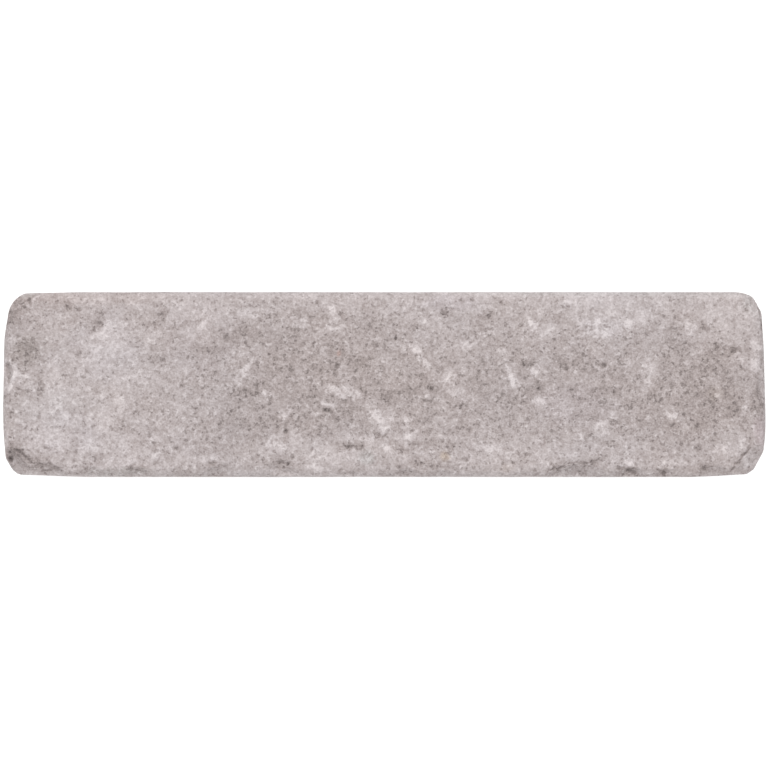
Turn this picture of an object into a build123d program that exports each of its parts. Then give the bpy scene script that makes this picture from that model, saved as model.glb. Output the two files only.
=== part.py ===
from build123d import *
import os

# Tumbled concrete paver, long narrow format, cast in one piece.
#
# The paver stands on its bed face as it is laid: the wear face is up (+Z), the length runs along
# X and the width along Y. The origin is the middle of the footprint, at the bed face.
# All lengths are millimetres, all angles degrees.

# ---- driving dimensions ---------------------------------------------------------------------
LENGTH = 200.0  # over the worn ends
WIDTH = 48.7  # over the two long side faces
HEIGHT = 70.0  # bed face to wear face
TOP_WEAR_R = 3.0  # rounding that tumbling leaves on the edge of the wear face
BED_WEAR_R = 2.6  # the same round the bed face

L, W, H = LENGTH / 2, WIDTH / 2, HEIGHT  # what the shapes below are measured from

# Outline seen from above, anticlockwise, starting behind at the left: (x, y, corner radius).
# The long sides are straight and the ends bulge a little. The four corners are worn differently:
# back left is a soft round, front left a flat break at about 60 degrees to the long side, front
# right a longer and steeper one, and back right two short ones.
OUTLINE = [
    (-L + 21.00, W, 150.0),
    (-L + 5.50, W - 0.30, 4.0),
    (-L + 1.90, W - 2.90, 7.4),
    (-L + 0.40, 12.1, 30.0),
    (-L - 0.09, -10.0, 100.0),
    (-L + 0.75, -W + 4.90, 4.4),
    (-L + 3.15, -W + 0.65, 3.5),
    (-L + 21.00, -W, 80.0),
    (L - 18.10, -W, 80.0),
    (L - 3.77, -W + 0.78, 3.5),
    (L - 0.53, -W + 6.80, 3.5),
    (L + 0.08, -11.4, 67.0),
    (L - 0.47, 9.8, 70.0),
    (L - 1.03, W - 5.50, 3.5),
    (L - 3.17, W - 1.36, 3.5),
    (L - 6.20, W, 9.0),
]

# Broken corners and edges. Concrete breaks in shallow shells, so each break is the bite of a ball:
# (point on the unbroken block, way the break faces, radius of the ball, depth below the point).
# Round the wear face:
WEAR_FACE_BREAKS = [
    ((-L + 2.40, -W + 2.45, H), (-0.55, -0.60, 0.58), 11.0, 3.4),  # front left corner, the deepest
    ((-L + 11.00, -W, H), (0.00, -0.70, 0.71), 12.0, 2.8),  # the flake beside it
    ((L - 2.80, -W + 3.15, H), (0.50, -0.50, 0.71), 16.0, 3.0),  # front right corner, a flat facet
    ((L - 2.40, W - 2.45, H), (0.55, 0.50, 0.67), 9.0, 2.4),  # back right corner
    ((-L + 2.50, W - 2.15, H), (-0.50, 0.50, 0.71), 12.0, 2.0),  # back left corner, soft
    ((-L + 6.40, 7.6, H), (0.00, 0.00, 1.00), 14.5, 0.65),  # dish in the face by the left end
    ((-L + 0.10, 2.6, H), (-0.70, 0.00, 0.71), 9.0, 2.3),  # left end, beside it
    ((L, -1.0, H), (0.70, 0.00, 0.71), 14.0, 1.9),  # right end
    ((L, 13.0, H), (0.75, 0.10, 0.66), 5.0, 1.8),  # right end
    ((-64.6, -W, H), (0.00, -0.70, 0.71), 6.0, 2.1),  # front edge, from left to right
    ((-43.7, -W, H), (0.00, -0.70, 0.71), 5.0, 2.5),
    ((-26.9, -W + 1.75, H), (0.00, -0.40, 0.92), 9.0, 1.3),
    ((6.0, -W, H), (0.00, -0.70, 0.71), 9.0, 1.8),
    ((50.4, -W, H), (0.00, -0.60, 0.80), 20.0, 2.6),
    ((64.3, -W, H), (0.00, -0.70, 0.71), 4.5, 2.2),
    ((73.5, -W, H), (0.00, -0.70, 0.71), 2.6, 2.0),
    ((L - 13.80, -W, H), (0.00, -0.60, 0.80), 9.0, 2.1),
    ((29.2, W, H), (0.00, 0.75, 0.66), 3.4, 1.7),  # back edge
]
# Round the bed face, which the tumbling has broken more:
BED_FACE_BREAKS = [
    ((-L + 2.20, W - 2.35, 0.0), (-0.55, 0.50, -0.67), 12.0, 4.6),  # back left corner
    ((L - 2.70, -W + 2.95, 0.0), (0.60, -0.55, -0.58), 10.0, 4.2),  # front right corner
    ((-L + 2.40, -W + 2.45, 0.0), (-0.50, -0.60, -0.62), 14.0, 2.6),  # front left corner
    ((L - 2.40, W - 2.45, 0.0), (0.60, 0.50, -0.62), 12.0, 2.4),  # back right corner
    ((-61.0, -W, 0.0), (0.00, -0.75, -0.66), 13.0, 2.9),  # front edge
    ((-51.5, -W, 0.0), (0.20, -0.70, -0.69), 6.0, 2.1),
    ((22.0, -W, 0.0), (0.00, -0.65, -0.76), 7.0, 2.3),
    ((58.0, -W, 0.0), (0.00, -0.80, -0.60), 18.0, 2.0),
    ((-20.0, W, 0.0), (0.00, 0.70, -0.71), 11.0, 2.6),  # back edge
    ((38.0, W, 0.0), (0.00, 0.75, -0.66), 5.0, 2.2),
    ((71.0, W, 0.0), (-0.10, 0.70, -0.71), 15.0, 2.3),
    ((L - 0.10, 6.0, 0.0), (0.75, 0.00, -0.66), 9.0, 2.6),  # right end
    ((-L, -7.0, 0.0), (-0.70, 0.00, -0.71), 8.0, 2.5),  # left end
]
# Down the four upright corners:
CORNER_BREAKS = [
    ((-L + 2.40, -W + 2.45, 40.0), (-0.72, -0.69, 0.10), 13.0, 1.3),
    ((-L + 2.30, -W + 2.35, 19.0), (-0.80, -0.60, 0.00), 8.0, 0.9),
    ((L - 2.70, -W + 3.05, 33.0), (0.66, -0.75, -0.10), 12.0, 1.4),
    ((L - 2.30, W - 2.35, 47.0), (0.72, 0.69, 0.05), 14.0, 1.2),
    ((L - 2.30, W - 2.35, 23.0), (0.60, 0.80, 0.00), 7.0, 1.0),
    ((-L + 2.30, W - 2.15, 31.0), (-0.70, 0.70, -0.10), 15.0, 1.3),
]


def bite(at, facing, radius, depth):
    """The ball that reaches this depth below a point, from the side the break faces."""
    out = Vector(*facing).normalized() * (radius - depth)
    return Pos(*(Vector(*at) + out)) * Sphere(radius)


# ---- stock: the moulded block with its edges tumbled round -----------------------------------
outline = FilletPolyline(
    *[(x, y) for x, y, _ in OUTLINE],
    radius=[r for _, _, r in OUTLINE],
    close=True,
)
plan = make_face(outline)
body = extrude(plan, amount=H, dir=(0, 0, 1))
body = fillet(body.edges().group_by(Axis.Z)[-1], TOP_WEAR_R)
body = fillet(body.edges().group_by(Axis.Z)[0], BED_WEAR_R)

# ---- breaks ----------------------------------------------------------------------------------
for at, facing, radius, depth in WEAR_FACE_BREAKS + BED_FACE_BREAKS + CORNER_BREAKS:
    body -= bite(at, facing, radius, depth)

# ---- the footprint's middle and the bed face to the origin -----------------------------------
box = body.bounding_box()
body = Pos(-(box.min.X + box.max.X) / 2, -(box.min.Y + box.max.Y) / 2, -box.min.Z) * body

paver = body.solids()[0]
paver.label = "paver"

box = paver.bounding_box()
print("solids", len(body.solids()), "valid", paver.is_valid)
print("size", round(box.size.X, 3), round(box.size.Y, 3), round(box.size.Z, 3))
print("volume, litres", round(paver.volume / 1e6, 4), "faces", len(paver.faces()))

os.makedirs("parts", exist_ok=True)
export_step(paver, "parts/paver.step")
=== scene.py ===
import math

import bpy
import numpy as np
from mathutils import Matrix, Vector


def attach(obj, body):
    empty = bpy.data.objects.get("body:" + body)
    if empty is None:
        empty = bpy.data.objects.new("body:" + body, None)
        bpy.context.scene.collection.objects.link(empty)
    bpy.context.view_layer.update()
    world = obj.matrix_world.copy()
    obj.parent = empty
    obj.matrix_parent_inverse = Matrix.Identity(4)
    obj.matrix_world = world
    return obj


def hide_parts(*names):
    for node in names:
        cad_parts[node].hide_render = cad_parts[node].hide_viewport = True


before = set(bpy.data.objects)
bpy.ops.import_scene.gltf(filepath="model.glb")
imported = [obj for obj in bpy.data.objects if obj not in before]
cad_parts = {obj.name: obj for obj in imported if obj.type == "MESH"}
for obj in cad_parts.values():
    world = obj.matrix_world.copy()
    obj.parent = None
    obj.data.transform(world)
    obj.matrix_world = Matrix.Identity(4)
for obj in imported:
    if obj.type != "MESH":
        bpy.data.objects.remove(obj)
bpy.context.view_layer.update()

# ---------------------------------------------------------------------------------------------
# Sizes, in millimetres, in the CAD frame. Blender's metres come last, when the mesh is written.
# ---------------------------------------------------------------------------------------------
L, W, H = 100.0, 24.35, 70.0
TOP_WEAR_R, BED_WEAR_R = 3.0, 2.6
PX = 0.26202  # one pixel of the photograph, at the wear face
PX_X, PX_Y = 384.13, 384.54  # the pixel that looks at the middle of the wear face

# The outline and the breaks are the CAD part's own.
OUTLINE = [
    (-L + 21.00, W, 150.0),
    (-L + 5.50, W - 0.30, 4.0),
    (-L + 1.90, W - 2.90, 7.4),
    (-L + 0.40, 12.1, 30.0),
    (-L - 0.09, -10.0, 100.0),
    (-L + 0.75, -W + 4.90, 4.4),
    (-L + 3.15, -W + 0.65, 3.5),
    (-L + 21.00, -W, 80.0),
    (L - 18.10, -W, 80.0),
    (L - 3.77, -W + 0.78, 3.5),
    (L - 0.53, -W + 6.80, 3.5),
    (L + 0.08, -11.4, 67.0),
    (L - 0.47, 9.8, 70.0),
    (L - 1.03, W - 5.50, 3.5),
    (L - 3.17, W - 1.36, 3.5),
    (L - 6.20, W, 9.0),
]
BREAKS = [
    ((-L + 2.40, -W + 2.45, H), (-0.55, -0.60, 0.58), 11.0, 3.4),
    ((-L + 11.00, -W, H), (0.00, -0.70, 0.71), 12.0, 2.8),
    ((L - 2.80, -W + 3.15, H), (0.50, -0.50, 0.71), 16.0, 3.0),
    ((L - 2.40, W - 2.45, H), (0.55, 0.50, 0.67), 9.0, 2.4),
    ((-L + 2.50, W - 2.15, H), (-0.50, 0.50, 0.71), 12.0, 2.0),
    ((-L + 6.40, 7.6, H), (0.00, 0.00, 1.00), 14.5, 0.65),
    ((-L + 0.10, 2.6, H), (-0.70, 0.00, 0.71), 9.0, 2.3),
    ((L, -1.0, H), (0.70, 0.00, 0.71), 14.0, 1.9),
    ((L, 13.0, H), (0.75, 0.10, 0.66), 5.0, 1.8),
    ((-64.6, -W, H), (0.00, -0.70, 0.71), 6.0, 2.1),
    ((-43.7, -W, H), (0.00, -0.70, 0.71), 5.0, 2.5),
    ((-26.9, -W + 1.75, H), (0.00, -0.40, 0.92), 9.0, 1.3),
    ((6.0, -W, H), (0.00, -0.70, 0.71), 9.0, 1.8),
    ((50.4, -W, H), (0.00, -0.60, 0.80), 20.0, 2.6),
    ((64.3, -W, H), (0.00, -0.70, 0.71), 4.5, 2.2),
    ((73.5, -W, H), (0.00, -0.70, 0.71), 2.6, 2.0),
    ((L - 13.80, -W, H), (0.00, -0.60, 0.80), 9.0, 2.1),
    ((29.2, W, H), (0.00, 0.75, 0.66), 3.4, 1.7),
    ((-L + 2.20, W - 2.35, 0.0), (-0.55, 0.50, -0.67), 12.0, 4.6),
    ((L - 2.70, -W + 2.95, 0.0), (0.60, -0.55, -0.58), 10.0, 4.2),
    ((-L + 2.40, -W + 2.45, 0.0), (-0.50, -0.60, -0.62), 14.0, 2.6),
    ((L - 2.40, W - 2.45, 0.0), (0.60, 0.50, -0.62), 12.0, 2.4),
    ((-61.0, -W, 0.0), (0.00, -0.75, -0.66), 13.0, 2.9),
    ((-51.5, -W, 0.0), (0.20, -0.70, -0.69), 6.0, 2.1),
    ((22.0, -W, 0.0), (0.00, -0.65, -0.76), 7.0, 2.3),
    ((58.0, -W, 0.0), (0.00, -0.80, -0.60), 18.0, 2.0),
    ((-20.0, W, 0.0), (0.00, 0.70, -0.71), 11.0, 2.6),
    ((38.0, W, 0.0), (0.00, 0.75, -0.66), 5.0, 2.2),
    ((71.0, W, 0.0), (-0.10, 0.70, -0.71), 15.0, 2.3),
    ((L - 0.10, 6.0, 0.0), (0.75, 0.00, -0.66), 9.0, 2.6),
    ((-L, -7.0, 0.0), (-0.70, 0.00, -0.71), 8.0, 2.5),
    ((-L + 2.40, -W + 2.45, 40.0), (-0.72, -0.69, 0.10), 13.0, 1.3),
    ((-L + 2.30, -W + 2.35, 19.0), (-0.80, -0.60, 0.00), 8.0, 0.9),
    ((L - 2.70, -W + 3.05, 33.0), (0.66, -0.75, -0.10), 12.0, 1.4),
    ((L - 2.30, W - 2.35, 47.0), (0.72, 0.69, 0.05), 14.0, 1.2),
    ((L - 2.30, W - 2.35, 23.0), (0.60, 0.80, 0.00), 7.0, 1.0),
    ((-L + 2.30, W - 2.15, 31.0), (-0.70, 0.70, -0.10), 15.0, 1.3),
]


# ---------------------------------------------------------------------------------------------
# Seeded noise
# ---------------------------------------------------------------------------------------------
def hashed(ix, iy, iz, seed):
    """A number from 0 to 1 for each lattice point."""
    with np.errstate(over="ignore"):
        h = (
            ix.astype(np.uint32) * np.uint32(374761393)
            + iy.astype(np.uint32) * np.uint32(668265263)
            + iz.astype(np.uint32) * np.uint32(2246822519)
            + np.uint32((seed * 3266489917) & 0xFFFFFFFF)
        )
        h ^= h >> np.uint32(15)
        h *= np.uint32(2246822519)
        h ^= h >> np.uint32(13)
        h *= np.uint32(3266489917)
        h ^= h >> np.uint32(16)
    return h / 4294967296.0


def noise(p, size, seed):
    """Smooth gradient noise, about -1 to 1, with features of this size in mm."""
    q = p / size + 37.0 * (seed % 13) + 0.37
    base = np.floor(q).astype(np.int64)
    f = q - base
    u = f * f * f * (f * (f * 6 - 15) + 10)
    total = np.zeros(len(p))
    for dx in (0, 1):
        for dy in (0, 1):
            for dz in (0, 1):
                ix, iy, iz = base[:, 0] + dx, base[:, 1] + dy, base[:, 2] + dz
                a = hashed(ix, iy, iz, seed) * 2 * math.pi
                c = hashed(ix, iy, iz, seed + 101) * 2 - 1
                s = np.sqrt(1 - c * c)
                dot = (
                    np.cos(a) * s * (f[:, 0] - dx)
                    + np.sin(a) * s * (f[:, 1] - dy)
                    + c * (f[:, 2] - dz)
                )
                w = (
                    (u[:, 0] if dx else 1 - u[:, 0])
                    * (u[:, 1] if dy else 1 - u[:, 1])
                    * (u[:, 2] if dz else 1 - u[:, 2])
                )
                total += w * dot
    return total * 1.55


def smooth(lo, hi, x):
    t = np.clip((x - lo) / (hi - lo), 0, 1)
    return t * t * (3 - 2 * t)


# ---------------------------------------------------------------------------------------------
# The worn block: a box of quads whose points are carried out to the rounded shape
# ---------------------------------------------------------------------------------------------
NX, NY = 416, 100  # cells of the wear face, and half as many on the bed face
PITCH = 2 * L / NX
FINE = 10  # rings of the same fineness that run on down over the rounding
ROWS = 56  # rows down the sides, below them
CORE = 8.0  # how far inside the box the fan of directions starts

xs = np.linspace(-L, L, NX + 1)
ys = np.linspace(-W, W, NY + 1)


def ring(nx, ny):
    """Grid places round the edge of a face, anticlockwise from the front left corner."""
    places = [(i, 0) for i in range(nx)] + [(nx, j) for j in range(ny)]
    places += [(i, ny) for i in range(nx, 0, -1)] + [(0, j) for j in range(ny, 0, -1)]
    return places


rim = ring(NX, NY)
R = len(rim)
box = []  # each point's place on the plain box
gx, gy = np.meshgrid(xs, ys, indexing="ij")
box.append(np.stack([gx.ravel(), gy.ravel(), np.full(gx.size, H)], 1))
rim_xy = np.array([(xs[i], ys[j]) for i, j in rim])
half_xy = rim_xy[::2]
z_fine = H - (2 * W / NY) * np.arange(1, FINE + 1)
z_rows = np.linspace(z_fine[-1], 0.0, ROWS + 1)[1:]
for z in z_fine:
    box.append(np.column_stack([rim_xy, np.full(R, z)]))
for z in z_rows:
    box.append(np.column_stack([half_xy, np.full(R // 2, z)]))
bx, by = np.meshgrid(xs[::2], ys[::2], indexing="ij")
inner = np.zeros(bx.shape, bool)
inner[1:-1, 1:-1] = True
box.append(np.column_stack([bx[inner], by[inner], np.zeros(inner.sum())]))
P = np.concatenate(box)
count = len(P)

# point numbers
top_id = np.arange((NX + 1) * (NY + 1)).reshape(NX + 1, NY + 1)
rim_top = np.array([top_id[i, j] for i, j in rim])
start = top_id.size
fine_ids = [rim_top] + [start + k * R + np.arange(R) for k in range(FINE)]
start += FINE * R
row_ids = [start + k * (R // 2) + np.arange(R // 2) for k in range(ROWS)]
start += ROWS * (R // 2)
bed_id = np.zeros(bx.shape, np.int64)
bed_id[inner] = start + np.arange(inner.sum())
for n, (i, j) in enumerate(ring(NX // 2, NY // 2)):
    bed_id[i, j] = row_ids[-1][n]

faces, sides = [], []  # a face's points, and which part of the unwrapping it is in
for i in range(NX):
    for j in range(NY):
        faces.append((top_id[i, j], top_id[i + 1, j], top_id[i + 1, j + 1], top_id[i, j + 1]))
sides += [0] * (NX * NY)


def side_of(n, nx, ny):
    """1 front, 2 right, 3 back, 4 left, for the nth cell round the rim."""
    return 1 if n < nx else 2 if n < nx + ny else 3 if n < 2 * nx + ny else 4


for k in range(FINE):
    a, b = fine_ids[k], fine_ids[k + 1]
    for n in range(R):
        m = (n + 1) % R
        faces.append((a[n], b[n], b[m], a[m]))
        sides.append(side_of(n, NX, NY))
a, b = fine_ids[-1], row_ids[0]
for n in range(R // 2):
    m = (n + 1) % (R // 2)
    f0, f1, f2 = a[2 * n], a[2 * n + 1], a[(2 * n + 2) % R]
    s = side_of(n, NX // 2, NY // 2)
    faces += [(f0, b[n], f1), (f1, b[m], f2), (f1, b[n], b[m])]
    sides += [s, s, s]
for k in range(ROWS - 1):
    a, b = row_ids[k], row_ids[k + 1]
    for n in range(R // 2):
        m = (n + 1) % (R // 2)
        faces.append((a[n], b[n], b[m], a[m]))
        sides.append(side_of(n, NX // 2, NY // 2))
for i in range(NX // 2):
    for j in range(NY // 2):
        faces.append((bed_id[i, j], bed_id[i, j + 1], bed_id[i + 1, j + 1], bed_id[i + 1, j]))
sides += [5] * ((NX // 2) * (NY // 2))

# the directions: straight out of each face, fanned round its edges
core = np.column_stack(
    [
        np.clip(P[:, 0], -L + CORE, L - CORE),
        np.clip(P[:, 1], -W + CORE, W - CORE),
        np.clip(P[:, 2], CORE, H - CORE),
    ]
)
way = P - core

# the outline, as half planes with a round at each corner
corners = np.array([(x, y) for x, y, _ in OUTLINE])
radii = np.array([r for _, _, r in OUTLINE])
nxt = np.roll(corners, -1, 0)
run = (nxt - corners) / np.linalg.norm(nxt - corners, axis=1)[:, None]
# the list goes round anticlockwise, so outward is to the right of each run
out = np.column_stack([run[:, 1], -run[:, 0]])
reach = (out * corners).sum(1)
prev_out = np.roll(out, 1, 0)
bis = prev_out + out
bis /= np.linalg.norm(bis, axis=1)[:, None]
cos_half = (bis * out).sum(1)
centres = corners - bis * (radii / cos_half)[:, None]


def plan_distance(xy):
    """How far outside the outline each point is, minus inside."""
    d = np.full(len(xy), -1e9)
    for (ox, oy), c in zip(out, reach):
        np.maximum(d, xy[:, 0] * ox + xy[:, 1] * oy - c, out=d)
    for (cx, cy), r, (ax, ay), (ox, oy) in zip(centres, radii, prev_out, out):
        vx, vy = xy[:, 0] - cx, xy[:, 1] - cy
        inside = (ax * vy - ay * vx >= 0) & (vx * oy - vy * ox >= 0)
        near = inside & (vx * (ax + ox) + vy * (ay + oy) > 0)
        d[near] = np.maximum(d[near], np.hypot(vx[near], vy[near]) - r)
    return d


# The rounding isn't even: tumbling wears the edges more here and less there.
wear = noise(P, 26.0, 3) * 0.55 + noise(P, 9.0, 4) * 0.35 + noise(P, 4.0, 5) * 0.15
r_top = TOP_WEAR_R * np.clip(1.0 + 0.42 * wear, 0.55, 1.6)
r_bed = BED_WEAR_R * np.clip(1.1 + 0.55 * wear, 0.5, 1.9)


def solid(p):
    """Signed distance to the worn block, about."""
    d = plan_distance(p[:, :2])
    a, b = d + r_top, p[:, 2] - H + r_top
    top = np.hypot(np.maximum(a, 0), np.maximum(b, 0)) + np.minimum(np.maximum(a, b), 0) - r_top
    a, b = d + r_bed, r_bed - p[:, 2]
    bed = np.hypot(np.maximum(a, 0), np.maximum(b, 0)) + np.minimum(np.maximum(a, b), 0) - r_bed
    return np.maximum(top, bed)


low, high = np.full(count, 0.2), np.full(count, 1.02)
for _ in range(18):
    mid = (low + high) / 2
    outside = solid(core + way * mid[:, None]) > 0
    high = np.where(outside, mid, high)
    low = np.where(outside, low, mid)
V = core + way * ((low + high) / 2)[:, None]


def normals(v):
    """Point normals of the mesh."""
    total = np.zeros_like(v)
    for group in (quads, tris):
        a, b, c = v[group[:, 0]], v[group[:, 1]], v[group[:, -1]]
        n = np.cross(b - a, c - a)
        for k in range(group.shape[1]):
            np.add.at(total, group[:, k], n)
    return total / np.maximum(np.linalg.norm(total, axis=1), 1e-9)[:, None]


quads = np.array([f for f in faces if len(f) == 4])
tris = np.array([f for f in faces if len(f) == 3])

# ---------------------------------------------------------------------------------------------
# Relief: how each face of the block is worn, broken and pitted
# ---------------------------------------------------------------------------------------------
rng = np.random.default_rng(20720)
N0 = normals(V)
level_top = smooth(H - 9.0, H - 4.5, V[:, 2])  # 1 on the wear face and its rounding
facing_up = smooth(0.55, 0.97, N0[:, 2])
arris = level_top * (1 - smooth(0.93, 0.999, np.abs(N0[:, 2]))) * (1 - smooth(0.93, 0.999, 1 - N0[:, 2] ** 2))
breakage = noise(V, 5.5, 11) * 0.45 + noise(V, 2.4, 12) * 0.22 + noise(V, 1.3, 13) * 0.10
broken = np.zeros(count)  # how deep each point lies in a break


def bite(at, facing, radius, depth, rough):
    """Moves the points inside a ball straight in to its surface, rough as broken concrete is."""
    global V
    arm = V - (at + facing * (radius - depth))
    dist2 = (arm**2).sum(1)
    edge = radius + rough * breakage
    along = arm @ facing
    hit = (dist2 < edge**2) & (along < 0)
    move = along[hit] + np.sqrt(along[hit] ** 2 + edge[hit] ** 2 - dist2[hit])
    V[hit] -= move[:, None] * facing
    broken[hit] = np.maximum(broken[hit], move)


for at, facing, radius, depth in BREAKS:
    facing = np.array(facing) / np.linalg.norm(facing)
    bite(np.array(at), facing, radius, depth, min(1.0, 0.16 + radius * 0.05))

# small knocks all along the edges
mid_arris = np.where((np.abs(N0) > 0.45).sum(1) >= 2)[0]
on_top = mid_arris[V[mid_arris, 2] > H - 12]
on_bed = mid_arris[V[mid_arris, 2] < 12]
upright = mid_arris[(V[mid_arris, 2] >= 12) & (V[mid_arris, 2] <= H - 12)]
for pool, number, sizes, depths in (
    (on_top, 95, (1.2, 4.5), (0.12, 0.45)),
    (on_bed, 90, (1.6, 8.0), (0.20, 1.30)),
    (upright, 60, (1.5, 7.0), (0.20, 0.85)),
):
    for v in rng.choice(pool, number, replace=False):
        radius = sizes[0] + (sizes[1] - sizes[0]) * rng.random() ** 1.8
        depth = depths[0] + (depths[1] - depths[0]) * rng.random() ** 1.5
        bite(V[v].copy(), N0[v], radius, depth, 0.45)

N1 = normals(V)


def lower(amount, push=None):
    """Moves the surface in along its normals, by this much at each point."""
    global V
    V = V - (N1 if push is None else push) * amount[:, None]


# the wear face: gently uneven, with the sand grain standing out of it
wave = (
    noise(V, 31.0, 21) * 0.10
    + noise(V, 13.0, 22) * 0.08
    + noise(V, 5.8, 23) * 0.050
    + noise(V, 2.7, 24) * 0.040
)
grain = noise(V, 1.35, 25) * 0.040
side_wave = noise(V * np.array([1, 1, 0.45]), 9.0, 26) * 0.06 + noise(V, 34.0, 27) * 0.06
shape = level_top * (wave + grain) + (1 - level_top) * (side_wave + noise(V, 4.2, 28) * 0.05)
# the silhouette of the photograph is nearly straight, so the upright faces move less near it
calm = 1 - 0.55 * level_top * (1 - facing_up)
least = 0.03 + 0.10 * smooth(0.6, 0.98, np.abs(N1[:, 1])) + 0.10 * smooth(0.6, 0.98, N1[:, 2])
lower(least - np.clip(shape * calm, -0.4, least))


def px_to_mm(x, y):
    return (x - PX_X) * PX, (PX_Y - y) * PX


# painted shade in the creases: groove says how dark each point is painted for lying in one
groove = np.zeros(count)  # how dark each point is for lying in a crease
above = np.column_stack([V[:, 0], V[:, 1], np.full(count, 5.0)])
stray = np.column_stack([noise(above, 2.1, 31), noise(above, 2.1, 32)]) * 0.32  # cracks aren't straight
open_width = np.clip(1 + 0.75 * noise(above, 1.9, 33), 0.35, 1.8)


def crease(points, width, depth, lip=0.0, dark=1.0):
    """A groove along a line of the photograph's pixels on the wear face, with a lip on its upper side, and painted
    shade in it as strong as dark.
    """
    global V
    line = np.array([px_to_mm(x, y) for x, y in points])
    best = np.full(count, 1e9)
    side = np.zeros(count)
    for a, b in zip(line[:-1], line[1:]):
        ab = b - a
        length = np.linalg.norm(ab)
        t = np.clip(((V[:, :2] + stray - a) @ ab) / length**2, 0, 1)
        off = V[:, :2] + stray - (a + t[:, None] * ab)
        d = np.linalg.norm(off, axis=1)
        nearer = d < best
        best[nearer] = d[nearer]
        side[nearer] = ((V[:, :2] - a) @ np.array([-ab[1], ab[0]]) / length)[nearer]
    width = width * open_width
    profile = np.exp(-((best / width) ** 2)) * depth
    profile -= np.exp(-(((best - 1.6 * width) / width) ** 2)) * lip * (side > 0)
    near_top = level_top * (V[:, 2] > H - 7)
    V[:, 2] -= profile * near_top
    np.maximum(groove, np.exp(-((best / (0.85 * width)) ** 2)) * near_top * dark * np.clip(open_width, 0.5, 1.3), out=groove)


# creases and cliffs that the photograph shows round the breaks
crease([(20, 450.5), (23.5, 454), (28, 458.5)], 0.42, 0.55, 0.10, 1.35)
crease([(11, 449), (20, 450.5)], 0.60, 0.20, 0.0, 0.5)
crease([(28, 458.5), (34, 461.5), (40, 463.5), (50, 467), (63, 470)], 0.60, 0.24, 0.05, 0.65)
crease([(47, 461.5), (53, 465), (63, 468.5)], 0.38, 0.22, 0.0, 0.8)
crease([(750, 448.5), (746, 453), (742.5, 456.5)], 0.42, 0.50, 0.10, 1.5)
crease([(742.5, 456.5), (739.5, 460), (735, 463)], 0.38, 0.40, 0.08, 1.0)
crease([(734, 461.5), (735, 466), (732, 471)], 0.36, 0.32, 0.0, 0.9)
crease([(549, 470), (558, 468), (564, 465.5), (570, 463), (584, 462), (600, 462.5)], 0.36, 0.36, 0.06, 0.8)
crease([(84, 467), (87, 471)], 0.35, 0.25, 0.0, 0.8)
crease([(209, 464), (217, 463.5), (225, 465)], 0.40, 0.25, 0.0, 0.7)
crease([(345, 446.5), (352, 447), (362, 446.2)], 0.36, 0.30, 0.0, 1.0)
crease([(324, 408.5), (329, 410.5), (332, 412)], 0.36, 0.28, 0.0, 1.0)
crease([(742, 304), (745, 307), (747, 311)], 0.40, 0.40, 0.0, 1.2)
crease([(757, 306), (760, 311), (761, 320), (761.5, 327)], 0.36, 0.25, 0.0, 0.9)
crease([(9, 388), (12, 380), (16.5, 372)], 0.50, -0.32, 0.0, 0.0)
crease([(16.5, 372), (21, 374), (28, 378)], 0.45, -0.22, 0.0, 0.0)
crease([(20, 370), (27, 374), (33, 377)], 0.36, 0.15, 0.0, 0.5)
crease([(7.5, 366), (9, 374), (8.5, 383)], 0.45, 0.20, 0.0, 0.5)
crease([(353, 471), (353, 476)], 0.35, 0.35, 0.0, 0.7)
crease([(618, 467), (625, 469), (634, 473)], 0.45, 0.40, 0.0, 1.0)
crease([(274, 461), (281, 462.5), (290, 463)], 0.36, 0.30, 0.0, 0.5)
crease([(131, 470), (134, 465), (140, 463)], 0.40, 0.25, 0.0, 0.6)
crease([(699, 469), (705, 467), (712, 466)], 0.40, 0.25, 0.0, 0.7)

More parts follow.
